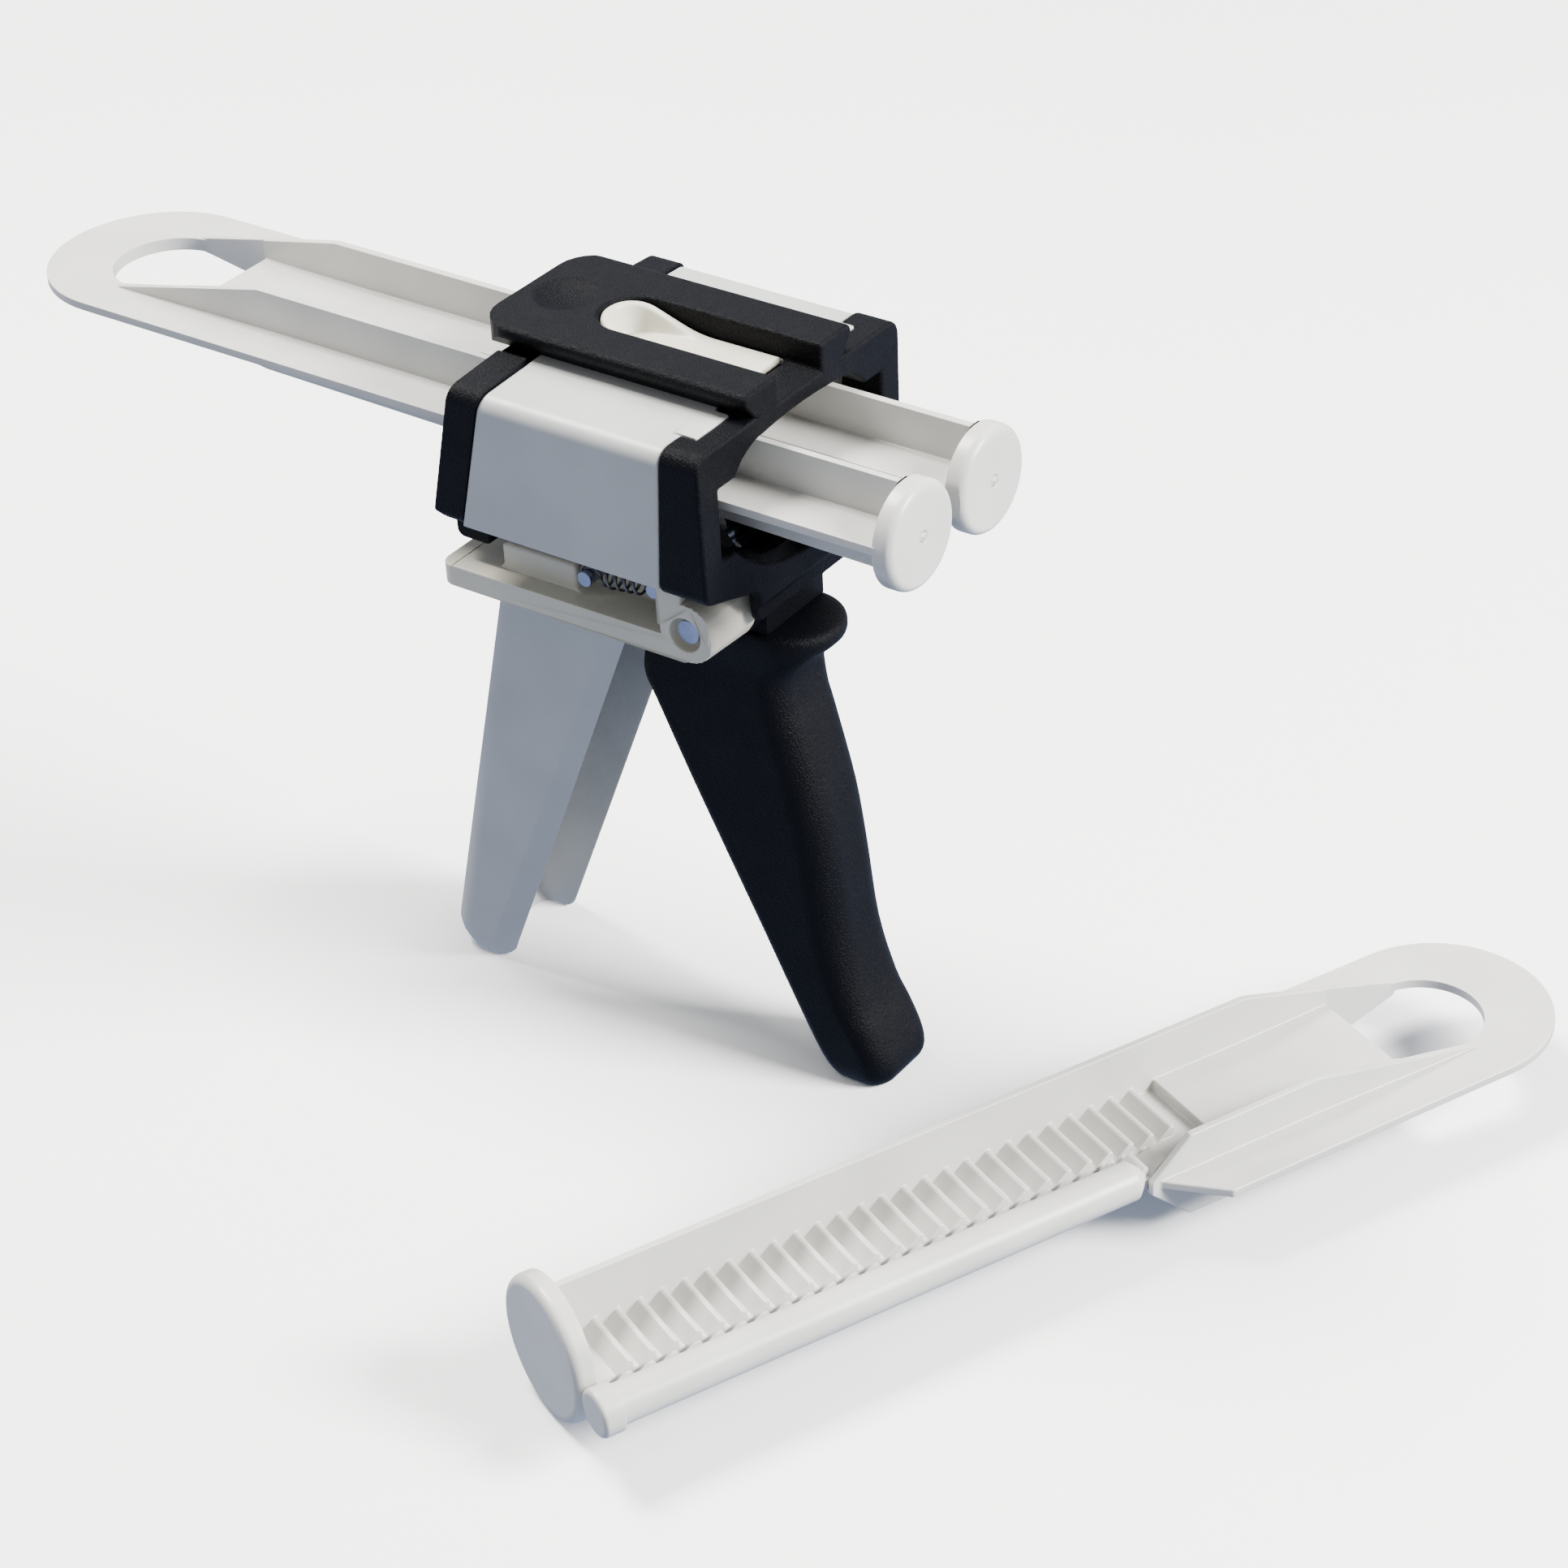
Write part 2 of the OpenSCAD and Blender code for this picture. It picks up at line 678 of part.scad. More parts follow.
// trigger: hub, arm to the drive pawl, flange and handle
// handle slices from the flange down: drop under the axes, front x, rear x, half width, front corner radius
trigger_slices = [
    [28.8, 3.6, -15, 7.9, 7.4], [29.5, 4.6, -17, 8.6, 8.2], [30.6, 5, -19, 8.75, 8.5],
    [31.8, 4.7, -21.4, 8.75, 8.3], [33.2, 3.3, -23.8, 8.6, 7.2], [34.8, 1.2, -25.9, 8.4, 6],
    [36.8, -0.7, -28.2, 8.2, 5], [39, -1.5, -29.3, 8.2, 4.5], [41.5, -1.3, -30, 8.2, 4.6],
    [44.6, -0.6, -30, 8.2, 5], [48.5, 0.7, -28.2, 8.2, 5.3], [53, 2.1, -26.1, 8.2, 5.5],
    [62, 4.3, -21.9, 8.2, 5.5], [74, 6.1, -16, 8.2, 5.5], [82, 6.9, -12, 8.2, 5.5],
    [88.5, 7.9, -8.8, 8.2, 5.5], [94, 9.1, -6.1, 8.2, 5.2], [99.2, 10.9, -3.6, 8.2, 5],
    [104, 13.4, -1.2, 8.2, 4.8], [108.5, 15.4, 1, 8.1, 4.5], [111.5, 16, 2.6, 7.9, 4.3],
    [113.4, 15.4, 3.8, 7.4, 3.8], [foot_down, 13.6, 5, 6.6, 3]
];
trigger_back_r = 3;
width_share = trigger_half / max([for (s = trigger_slices) s[3]]);
function slice_ring(s) = [for (p = rounded([
    [s[1], s[3] * width_share, s[4] * width_share], [s[2], s[3] * width_share, trigger_back_r],
    [s[2], -s[3] * width_share, trigger_back_r], [s[1], -s[3] * width_share, s[4] * width_share]
])) [p[0], p[1], -s[0]]];
// a closed skin over rings that have the same number of points, the highest ring first
module skin(rings) {
    n = len(rings[0]);
    last = (len(rings) - 1) * n;
    walls = [for (i = [0:len(rings) - 2], k = [0:n - 1]) let (a = i * n + k, b = i * n + (k + 1) % n)
        each [[a, b, b + n], [a, b + n, a + n]]];
    polyhedron([for (r = rings) each r],
        concat([[for (k = [n - 1:-1:0]) k]], walls, [[for (k = [0:n - 1]) last + k]]));
}
module trigger_neck() polygon([
    [pivot_x - hub_r, -pivot_down], [pivot_x - hub_r, flange_up - run_gap],
    [pivot_x + hub_r, flange_up - run_gap], [pivot_x + hub_r, -pivot_down]
]);
arm_side = [cos(arm_lean), sin(arm_lean)];

module trigger_arm() {
    rod_y(arm_r, drive_pin_x, drive_pin_z, arm_in, arm_out);
    rod_y(bar_boss_r, bar_x, bar_z, arm_in, arm_out);
    across(arm_in, arm_out) polygon([
        [pivot_x, -pivot_down] + arm_root_r * arm_side, [drive_pin_x, drive_pin_z] + arm_r * arm_side,
        [drive_pin_x, drive_pin_z] - arm_r * arm_side, [bar_x - bar_boss_r, bar_z],
        [bar_x - bar_boss_r / 2, bar_z - bar_boss_r], [pivot_x, -pivot_down] - arm_root_r * arm_side
    ]);
}
module trigger() color(ink) at_axis() {
    difference() {
        union() {
            skin([for (s = trigger_slices) slice_ring(s)]);
            across(-neck_half, neck_half) trigger_neck();
            rod_y(hub_r, pivot_x, -pivot_down, -hub_half, hub_half);
            trigger_arm();
            mirror([0, 1, 0]) trigger_arm();
        }
        rod_y(pivot_r + pin_gap, pivot_x, -pivot_down, -hub_half - over, hub_half + over);
        rod_y(pawl_pin_r, drive_pin_x, drive_pin_z, -arm_out - over, arm_out + over);
        rod_y(bar_r, bar_x, bar_z, -arm_out - over, arm_out + over);
    }
}

// pawls and levers
module drive_side() polygon([
    [drive_pin_x, drive_pin_z] + pawl_hub_r * [cos(drive_back_turn), sin(drive_back_turn)],
    [nose_x - nose_long, nose_up - nose_fall], [nose_x, nose_up], [nose_x, nose_up - nose_t],
    [drive_pin_x, drive_pin_z] + pawl_hub_r * [cos(drive_low_turn), sin(drive_low_turn)]
]);
module drive_pawl() color(steel) at_axis() {
    difference() {
        union() {
            rod_y(pawl_hub_r, drive_pin_x, drive_pin_z, -drive_hub_half, drive_hub_half);
            across(-drive_hub_half, drive_hub_half) drive_side();
            intersection() {
                across(-nose_half, nose_half) drive_side();
                slab(drive_pin_x + drive_wide_start, nose_x + over, -nose_half, nose_half, drive_pin_z, 0);
            }
        }
        rod_y(pawl_pin_r + pin_gap, drive_pin_x, drive_pin_z,
            -drive_hub_half - over, drive_hub_half + over);
    }
}
module hold_side() polygon([
    [hold_nose_x, hold_nose_up], [hold_nose_x - hold_nose_long, hold_nose_up],
    [hold_pin_x, hold_pin_z] + pawl_hub_r * [-cos(hold_back_turn), sin(hold_back_turn)],
    [hold_pin_x - hold_tail, hold_pin_z - hold_tail_up],
    [hold_pin_x - hold_tail, hold_pin_z - hold_tail_down],
    [hold_pin_x, hold_pin_z] + pawl_hub_r * [cos(hold_low_turn), sin(hold_low_turn)],
    [hold_nose_x, hold_nose_up - nose_t]
]);
module holding_pawl() color(steel) at_axis() {
    difference() {
        union() {
            across(-nose_half, nose_half) hold_side();
            rod_y(pawl_hub_r, hold_pin_x, hold_pin_z, -nose_half, nose_half);
        }
        rod_y(pawl_pin_r + pin_gap, hold_pin_x, hold_pin_z, -nose_half - over, nose_half + over);
    }
}
module release_side() polygon([
    [pad_front, pad_up + sink], [release_pin_x, release_pin_z + pawl_hub_r],
    [release_pin_x + release_finger, release_pin_z + release_finger_up],
    [release_pin_x + release_finger, release_pin_z + release_finger_up - release_finger_t],
    [release_pin_x, release_pin_z - pawl_hub_r], [pad_front, pad_down + sink]
]);
module release_lever() color(ink) at_axis() {
    difference() {
        union() {
            across(-nose_half, nose_half) release_side();
            rod_y(pawl_hub_r, release_pin_x, release_pin_z, -nose_half, nose_half);
            across(-pad_half, pad_half) polygon(rounded([
                [pad_front, pad_up, pad_front_r], [pad_front, pad_down, pad_front_r],
                [pad_back, pad_down, pad_back_r], [pad_back, pad_up, pad_back_r]
            ]));
            for (z = [pad_down + pad_rib_pitch:pad_rib_pitch:pad_up - pad_rib_pitch / 2])
                slab(pad_back - pad_rib_t, pad_back + sink, -pad_half + pad_rib_in, pad_half - pad_rib_in,
                    z - pad_rib_t / 2, z + pad_rib_t / 2);
        }
        rod_y(pawl_pin_r + pin_gap, release_pin_x, release_pin_z, -nose_half - over, nose_half + over);
    }
}
module latch_plan(grow) {
    translate([-slot_back + slot_half, 0]) circle(r = latch_half - grow);
    translate([-slot_back + slot_half, -latch_half + grow])
        square([slot_back - slot_half - frame_depth_top - run_gap, 2 * latch_half - 2 * grow]);
}
module cartridge_latch() color(cream) at_axis() {
    difference() {
        union() {
            translate([0, 0, latch_under]) linear_extrude(latch_floor_up - latch_under) latch_plan(0);
            translate([0, 0, latch_floor_up]) linear_extrude(latch_rim_up - latch_floor_up) latch_plan(0);
            rod_y(latch_boss_r, latch_pin_x, latch_pin_up, -latch_half, latch_half);
            slab(-trough_front + run_gap, -latch_tongue_end, -latch_tongue_half, latch_tongue_half,
                latch_tongue_down, latch_tongue_up);
            slab(-trough_front + run_gap, -frame_depth_top - run_gap, -latch_tongue_half, latch_tongue_half,
                latch_tongue_down, latch_under + sink);
            slab(-latch_tongue_end - latch_hook_t, -latch_tongue_end, -latch_tongue_half, latch_tongue_half,
                latch_hook_down, latch_tongue_up);
        }
        intersection() {
            translate([0, 0, latch_floor_up]) linear_extrude(latch_rim_up) union() {
                latch_plan(latch_rim);
                translate([-slot_back + latch_scoop_long + slot_half, -latch_half - over])
                    square([slot_back, 2 * latch_half + 2 * over]);
            }
            slab(-slot_back, over, -latch_half - over, latch_half + over,
                latch_floor_up, latch_rim_up + over);
        }
        across(-latch_half - over, latch_half + over) polygon([
            [-slot_back + slot_half / 2, latch_rim_up],
            [-slot_back + latch_scoop_long + slot_half, latch_floor_up],
            [-slot_back + latch_scoop_long + slot_half + over, latch_rim_up + over],
            [-slot_back + slot_half / 2, latch_rim_up + over]
        ]);
        rod_y(latch_pin_r + pin_gap, latch_pin_x, latch_pin_up, -latch_half - over, latch_half + over);
    }
}

// springs
function turned(v, w) = [v[0] * cos(w) - v[1] * sin(w), v[0] * sin(w) + v[1] * cos(w)];
spring_way = unit([bar_x - anchor_x, 0, bar_z - anchor_z]);
spring_up = [-spring_way[2], 0, spring_way[0]];
spring_side = [0, 1, 0];
hook_gap = 0.32;
hook_back_turn = 210;
hook_end_turn = 300;
hook_turn_part = 30;
coil_start_share = 0.04;
coil_span_share = 0.92;
coil_lead_rings = 4;
rear_hook_r = anchor_r + hook_gap + spring_wire / 2;
front_hook_r = bar_r + hook_gap + spring_wire / 2;
anchor_at = [anchor_x, spring_y, anchor_z];
bar_at = [bar_x, spring_y, bar_z];
spring_span = norm(bar_at - anchor_at) - rear_hook_r - front_hook_r;
coil_rings = spring_curls * curl_rings;
function rear_hook(w) = anchor_at + rear_hook_r * (spring_way * cos(w) + spring_up * sin(w));
function front_hook(w) = bar_at + front_hook_r * (spring_way * cos(w) + spring_up * sin(w));
function coil_r_at(i) = spring_coil_r * min(1, i / coil_lead_rings, (coil_rings - i) / coil_lead_rings);
function coil_point(i) = anchor_at
    + spring_way * (rear_hook_r + spring_span * (coil_start_share + coil_span_share * i / coil_rings))
    + coil_r_at(i) * (spring_up * cos(360 * i / curl_rings) + spring_side * sin(360 * i / curl_rings));
spring_path = concat(
    [for (w = [hook_back_turn:-hook_turn_part:hook_turn_part]) rear_hook(w)],
    [for (i = [0:coil_rings]) coil_point(i)],
    [for (w = [180:hook_turn_part:hook_end_turn]) front_hook(w)]
);
module return_spring() wire(spring_path, spring_wire / 2, function (i) [0.01, 1, 0.02]);
module return_spring_left() color(steel) at_axis() return_spring();
module return_spring_right() color(steel) at_axis() mirror([0, 1, 0]) return_spring();

latch_spring_low = cup_down + cup_t + latch_wire / 2 + pin_gap;
latch_spring_high = latch_under - 2 * run_gap - latch_wire / 2;
latch_path = [for (i = [0:latch_curls * curl_rings])
    [cup_x + latch_spring_r * cos(360 * i / curl_rings), latch_spring_r * sin(360 * i / curl_rings),
        latch_spring_low + (latch_spring_high - latch_spring_low) * i / (latch_curls * curl_rings)]];
module latch_spring() color(steel) at_axis() wire(latch_path, latch_wire / 2, function (i) [0, 0, 1]);

function twist_path(x, z, y0) = concat(
    [[x - twist_leg, y0, z + twist_coil_r]],
    [for (i = [0:twist_curls * curl_rings])
        [x + twist_coil_r * sin(360 * i / curl_rings), y0 + twist_pitch * i / curl_rings,
            z + twist_coil_r * cos(360 * i / curl_rings)]]
);
module holding_pawl_spring() color(steel) at_axis()
    wire(twist_path(hold_pin_x, hold_pin_z, nose_half + twist_stand), twist_wire / 2,
        function (i) [0, 1, 0]);
module drive_pawl_spring() color(steel) at_axis()
    wire(twist_path(drive_pin_x, drive_pin_z, arm_out + twist_stand), twist_wire / 2,
        function (i) [0, 1, 0]);

// plungers: drawn with the disc face at x = 0 and the barrel axes at z = 0
module disc(r, nose) rotate([0, -90, 0]) rotate_extrude() polygon(rounded([
    [0, 0, 0], [r, 0, nose], [r, disc_t, 0], [0, disc_t, 0]
]));
module rack(start, count, deep, y0, y1) across(y0, y1) for (i = [0:count - 1])
    translate([-start - rack_pitch * i, -plate_down]) polygon([
        [0, plate_edge_t / 2], [0, -deep], [tooth_land_share * rack_pitch, -deep],
        [(1 - tooth_land_share) * rack_pitch, 0], [(1 - tooth_land_share) * rack_pitch, plate_edge_t / 2]
    ]);
module plate_plan(start, inset) {
    translate([-plunger_length + plate_half, 0]) circle(r = plate_half - inset);
    translate([-plunger_length + plate_half, -plate_half + inset])
        square([plunger_length - plate_half - start, 2 * (plate_half - inset)]);
}
module eye_plan() {
    translate([-eye_back + eye_half, 0]) circle(r = eye_half);
    translate([-eye_back + eye_half, -eye_half]) square([eye_back - eye_half - eye_front, 2 * eye_half]);
}
// a long wall: start back from the disc, slope of its front end, top, foot at the front and at the knee
module long_wall(start, slope, up, low, low_knee) intersection() {
    translate([0, 0, -low]) linear_extrude(up + low) polygon([
        [-start, wall_in], [-knee_back, wall_in], [-wall_back, wall_in + wall_spread],
        [-wall_back, wall_in + wall_spread + wall_t], [-knee_back, wall_in + wall_t],
        [-start, wall_in + wall_t]
    ]);
    across(wall_in - over, wall_in + wall_t + wall_spread + over) polygon(concat(
        slope > 0 ? [[-start, plate_up]] : [],
        [[-start - slope, up], [-knee_back, up], [-wall_back, wall_end_up],
            [-wall_back, -plate_down], [-knee_back, -low_knee], [-start - slope, -low]],
        slope > 0 ? [[-start, -plate_down]] : []
    ));
}
module plunger() color(off_white) translate([plunger_out, 0, axis_rise]) {
    difference() {
        union() {
            translate([0, 0, -plate_down]) linear_extrude(plate_t) plate_plan(rod_start, plate_edge_w);
            translate([0, 0, plate_up - plate_edge_t]) linear_extrude(plate_edge_t)
                plate_plan(rod_start, 0);
            both_sides() {
                translate([0, axis_y, 0]) disc(disc_r, disc_nose_r);
                long_wall(rod_start, 0, wall_up, wall_down, wall_down - wall_low_fall);
                rack(rack_start + rack_pitch, rack_count, rack_deep, rack_in, rack_out);
            }
        }
        translate([0, 0, -wall_down]) linear_extrude(wall_up + wall_down) eye_plan();
        slab(-rod_split, over, -slit_half, slit_half, -wall_down, wall_up);
    }
}

module spare_plan() {
    translate([-plunger_length + plate_half, 0]) circle(r = plate_half);
    polygon([
        [-rod_start, small_y], [-rod_start, plate_half], [-plunger_length + plate_half, plate_half],
        [-plunger_length + plate_half, -plate_half], [-spare_corner - plate_half - small_y, -plate_half],
        [-spare_corner, small_y]
    ]);
}
module spare_form() {
    difference() {
        union() {
            translate([0, large_y, 0]) disc(large_r, disc_nose_r);
            translate([0, small_y, 0]) disc(small_r, disc_nose_r / 2);
            translate([0, 0, -plate_down]) linear_extrude(spare_plate_t) spare_plan();
            translate([-rod_start, small_y, 0]) rotate([0, -90, 0])
                cylinder(r = spare_rod_r, h = spare_corner - rod_start);
            translate([-spare_corner, small_y, 0]) rotate([0, -90, 0])
                cylinder(r1 = spare_rod_r, r2 = root_t, h = spare_rod_r);
            long_wall(rod_start, 0, spare_wall_up, spare_wall_down, spare_wall_down - spare_wall_fall);
            mirror([0, 1, 0])
                long_wall(spare_near_start, spare_near_slope, wall_up, spare_near_down, spare_near_down);
            rack(spare_rack_start, spare_rack_count, rack_deep, spare_rack_in, wall_in + wall_t / 2);
            rack(rack_start, spare_rack_count, cell_deep, cell_in, spare_slit_in);
            slab(-eye_front, -spare_rack_start - rack_pitch * spare_rack_count,
                -wall_in - wall_t / 2, wall_in + wall_t / 2, -rack_down, -plate_down + spare_plate_t / 2);
        }
        translate([0, 0, -spare_wall_down]) linear_extrude(spare_wall_up + spare_wall_down) eye_plan();
        slab(-rod_split, -rod_start - over, spare_slit_in, spare_rack_in, -large_r, large_r);
    }
}
module spare_plunger() color(off_white)
    translate([spare_x, spare_y, axis_rise + floor_z + large_r])
        rotate([0, 0, spare_turn]) rotate([180, 0, 0]) spare_form();

echo(return_spring_gap = self_gap(spring_path, spring_wire));
echo(latch_spring_gap = self_gap(latch_path, latch_wire));

front_frame();
saddle_cover();
rear_band();
guide_tray();
grip();
pivot_pin();
spring_anchor_pin();
holding_pawl_pin();
release_pin();
latch_pin();
return_spring_left();
return_spring_right();
latch_spring();
holding_pawl_spring();
trigger();
drive_pawl_pin();
spring_bar();
drive_pawl_spring();
drive_pawl();
holding_pawl();
release_lever();
cartridge_latch();
plunger();
spare_plunger();
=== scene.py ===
"""Dual cartridge dispensing tool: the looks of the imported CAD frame, its floor, lights and camera.

Sizes are in millimetres and turn into metres at MM. Those of the floor, the lights and the camera are in
metres. Heights that end in _up or _down are over or under the barrel axes, as in the part's source.
+X is the way the plunger pushes and +Z is up.
"""

import json
import math

import bmesh
import bpy
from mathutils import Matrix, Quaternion, Vector


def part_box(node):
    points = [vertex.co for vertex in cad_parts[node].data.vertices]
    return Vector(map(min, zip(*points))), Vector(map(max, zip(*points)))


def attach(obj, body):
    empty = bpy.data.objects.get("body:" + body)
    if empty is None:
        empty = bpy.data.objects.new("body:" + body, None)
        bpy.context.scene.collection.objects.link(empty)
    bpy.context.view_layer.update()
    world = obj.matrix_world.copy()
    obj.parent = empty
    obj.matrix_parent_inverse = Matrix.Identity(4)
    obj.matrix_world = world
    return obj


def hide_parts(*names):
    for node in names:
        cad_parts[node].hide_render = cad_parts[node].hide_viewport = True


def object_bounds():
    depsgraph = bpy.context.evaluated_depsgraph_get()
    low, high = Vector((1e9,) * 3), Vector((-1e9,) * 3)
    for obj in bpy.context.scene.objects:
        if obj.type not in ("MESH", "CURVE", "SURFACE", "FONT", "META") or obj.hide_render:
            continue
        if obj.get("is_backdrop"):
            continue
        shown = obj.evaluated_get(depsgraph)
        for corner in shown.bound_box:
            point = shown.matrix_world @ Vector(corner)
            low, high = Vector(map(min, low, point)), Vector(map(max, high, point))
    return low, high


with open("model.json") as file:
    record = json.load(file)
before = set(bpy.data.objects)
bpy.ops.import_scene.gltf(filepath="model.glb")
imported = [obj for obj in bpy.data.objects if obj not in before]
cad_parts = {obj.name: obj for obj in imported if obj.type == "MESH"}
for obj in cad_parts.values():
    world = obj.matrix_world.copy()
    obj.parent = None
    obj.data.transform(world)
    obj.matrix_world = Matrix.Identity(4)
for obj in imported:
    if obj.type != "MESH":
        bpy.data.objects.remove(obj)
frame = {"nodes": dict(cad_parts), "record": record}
CAD_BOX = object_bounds()
NODES = frame["nodes"]
RECORD = frame["record"]
MM = 0.001
BODY_OF = {node: body for body, nodes in RECORD["behaviour"]["bodies"].items() for node in nodes}
SLOT_OF = {part["node"]: part["material_slot"] for part in RECORD["subparts"]}


def box_mm(node):
    """A node's lowest and highest corner in millimetres."""
    low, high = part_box(node)
    return Vector(low) / MM, Vector(high) / MM


# the barrel axes run through the middle of the plunger's discs, at AXIS_Y to each side
PLUNGER_HIGH = box_mm("plunger")[1]
DISC_R = 9
AXIS_UP = PLUNGER_HIGH.z - DISC_R
AXIS_Y = 10.03


# Materials


class Shader:
    """A material's node tree with short calls to add and join nodes."""

    def __init__(self, name):
        self.material = bpy.data.materials.new(name)
        self.material.use_nodes = True
        self.tree = self.material.node_tree
        self.tree.nodes.clear()
        self.bsdf = self.add("ShaderNodeBsdfPrincipled")
        out = self.add("ShaderNodeOutputMaterial")
        self.join(self.bsdf, "BSDF", out, "Surface")
        self.place = self.add("ShaderNodeTexCoord")

    def add(self, kind, **values):
        """A new node, with values for its settings or for its input sockets."""
        node = self.tree.nodes.new(kind)
        for key, value in values.items():
            if hasattr(node, key):
                setattr(node, key, value)
            else:
                node.inputs[key.replace("_", " ")].default_value = value
        return node

    def join(self, source, out, node, socket):
        self.tree.links.new(source.outputs[out], node.inputs[socket])

    def noise(self, scale, detail=2.0, rough=0.5):
        node = self.add("ShaderNodeTexNoise", Scale=scale, Detail=detail, Roughness=rough)
        self.join(self.place, "Object", node, "Vector")
        return node

    def spread(self, source, out, low, high, start=0.3, end=0.7):
        """A number that runs from low to high as the source's output runs from start to end."""
        node = self.add("ShaderNodeMapRange")
        node.inputs["From Min"].default_value = start
        node.inputs["From Max"].default_value = end
        node.inputs["To Min"].default_value = low
        node.inputs["To Max"].default_value = high
        self.join(source, out, node, "Value")
        return node

    def tint(self, source, low, high, start=0.35, end=0.65):
        """The base colour, which runs from low to high as the source's noise runs from start to end."""
        ramp = self.add("ShaderNodeValToRGB")
        marks = ramp.color_ramp.elements
        marks[0].position = start
        marks[1].position = end
        marks[0].color = (*low, 1)
        marks[1].color = (*high, 1)
        self.join(source, "Fac", ramp, "Fac")
        self.join(ramp, "Color", self.bsdf, "Base Color")

    def ring(self, centre, radius, width):
        """One at the given distance from a point, falling to nothing half a width away."""
        away = self.add("ShaderNodeVectorMath", operation="DISTANCE")
        self.join(self.place, "Object", away, 0)
        away.inputs[1].default_value = centre
        off = self.add("ShaderNodeMath", operation="SUBTRACT")
        self.join(away, "Value", off, 0)
        off.inputs[1].default_value = radius
        size = self.add("ShaderNodeMath", operation="ABSOLUTE")
        self.join(off, "Value", size, 0)
        return self.spread(size, "Value", 1, 0, 0, width / 2)

    def bump(self, layers):
        """Stacked bumps: (height source, its output, distance in metres, strength)."""
        last = None
        for source, out, distance, strength in layers:
            node = self.add("ShaderNodeBump", Strength=strength, Distance=distance)
            self.join(source, out, node, "Height")
            if last is not None:
                self.join(last, "Normal", node, "Normal")
            last = node
        self.join(last, "Normal", self.bsdf, "Normal")


def shade(colour, factor):
    return tuple(min(1.0, part * factor) for part in colour)


# what all moulded pieces share: slow waves of the wall, patches of uneven gloss and a slight change of tint
WAVE_MM = 14
WAVE_DEEP_MM = 0.05
WAVE_STRENGTH = 0.25
GLOSS_PATCH_MM = 5
PLASTIC_GLOSSIER = 0.04
PLASTIC_DULLER = 0.05
PLASTIC_TINT = 0.04
SUBSURFACE_REACH = (1.0, 0.9, 0.75)
SUBSURFACE_MM = 1.2


def moulded_plastic(name, colour, rough, grain_mm, grain_deep_mm, grain_strength, subsurface=0.0,
                    specular=0.45, rings=()):
    """Moulded plastic: a fine grain, slow waves of the wall, uneven gloss and the rings of its gates."""
    shader = Shader(name)
    grain = shader.noise(1 / (grain_mm * MM), 2.0, 0.6)
    wave = shader.noise(1 / (WAVE_MM * MM), 1.0)
    gloss = shader.noise(1 / (GLOSS_PATCH_MM * MM), 3.0)
    shader.tint(wave, shade(colour, 1 - PLASTIC_TINT), shade(colour, 1 + PLASTIC_TINT))
    uneven = shader.spread(gloss, "Fac", rough - PLASTIC_GLOSSIER, rough + PLASTIC_DULLER)
    shader.join(uneven, "Result", shader.bsdf, "Roughness")
    marks = [(shader.ring(centre, radius * MM, width * MM), "Result", deep * MM, 1.0)
             for centre, radius, width, deep in rings]
    walls = [
        (wave, "Fac", WAVE_DEEP_MM * MM, WAVE_STRENGTH),
        (grain, "Fac", grain_deep_mm * MM, grain_strength),
    ]
    shader.bump(walls + marks)
    shader.bsdf.inputs["Specular IOR Level"].default_value = specular
    if subsurface:
        shader.bsdf.inputs["Subsurface Weight"].default_value = subsurface
        shader.bsdf.inputs["Subsurface Radius"].default_value = SUBSURFACE_REACH
        shader.bsdf.inputs["Subsurface Scale"].default_value = SUBSURFACE_MM * MM
    return shader.material


STEEL_PATCH_MM = 3
STEEL_DARK = 0.85
STEEL_LIGHT = 1.1
STEEL_GLOSSIER = 0.06
STEEL_DULLER = 0.08
SCRATCH_DEEP_MM = 0.01
SCRATCH_STRENGTH = 0.3


def steel(name, colour, rough, scratch_mm):
    """Plated or drawn steel with fine scratches and slight patches."""
    shader = Shader(name)
    scratches = shader.noise(1 / (scratch_mm * MM), 4.0, 0.7)
    patches = shader.noise(1 / (STEEL_PATCH_MM * MM), 2.0)
    shader.tint(patches, shade(colour, STEEL_DARK), shade(colour, STEEL_LIGHT))
    shader.bsdf.inputs["Metallic"].default_value = 1.0
    uneven = shader.spread(scratches, "Fac", rough - STEEL_GLOSSIER, rough + STEEL_DULLER)
    shader.join(uneven, "Result", shader.bsdf, "Roughness")
    shader.bump([(scratches, "Fac", SCRATCH_DEEP_MM * MM, SCRATCH_STRENGTH)])
    return shader.material


# gate marks in the middle of the two discs: a pip and a groove round it, by radius, width and depth
GATE_RINGS = ((0.0, 0.9, 0.35), (0.9, 0.5, -0.2))
GATES = [
    (Vector((PLUNGER_HIGH.x, side * AXIS_Y, AXIS_UP)) * MM, *ring)
    for side in (-1, 1) for ring in GATE_RINGS
]

INK = (0.0014, 0.0016, 0.0026)
PALE_GREY = (0.38, 0.385, 0.375)
CREAM = (0.50, 0.48, 0.40)
OFF_WHITE = (0.47, 0.465, 0.44)
CLEAN_WALL = {"grain_mm": 0.9, "grain_deep_mm": 0.02, "grain_strength": 0.15, "subsurface": 0.1}

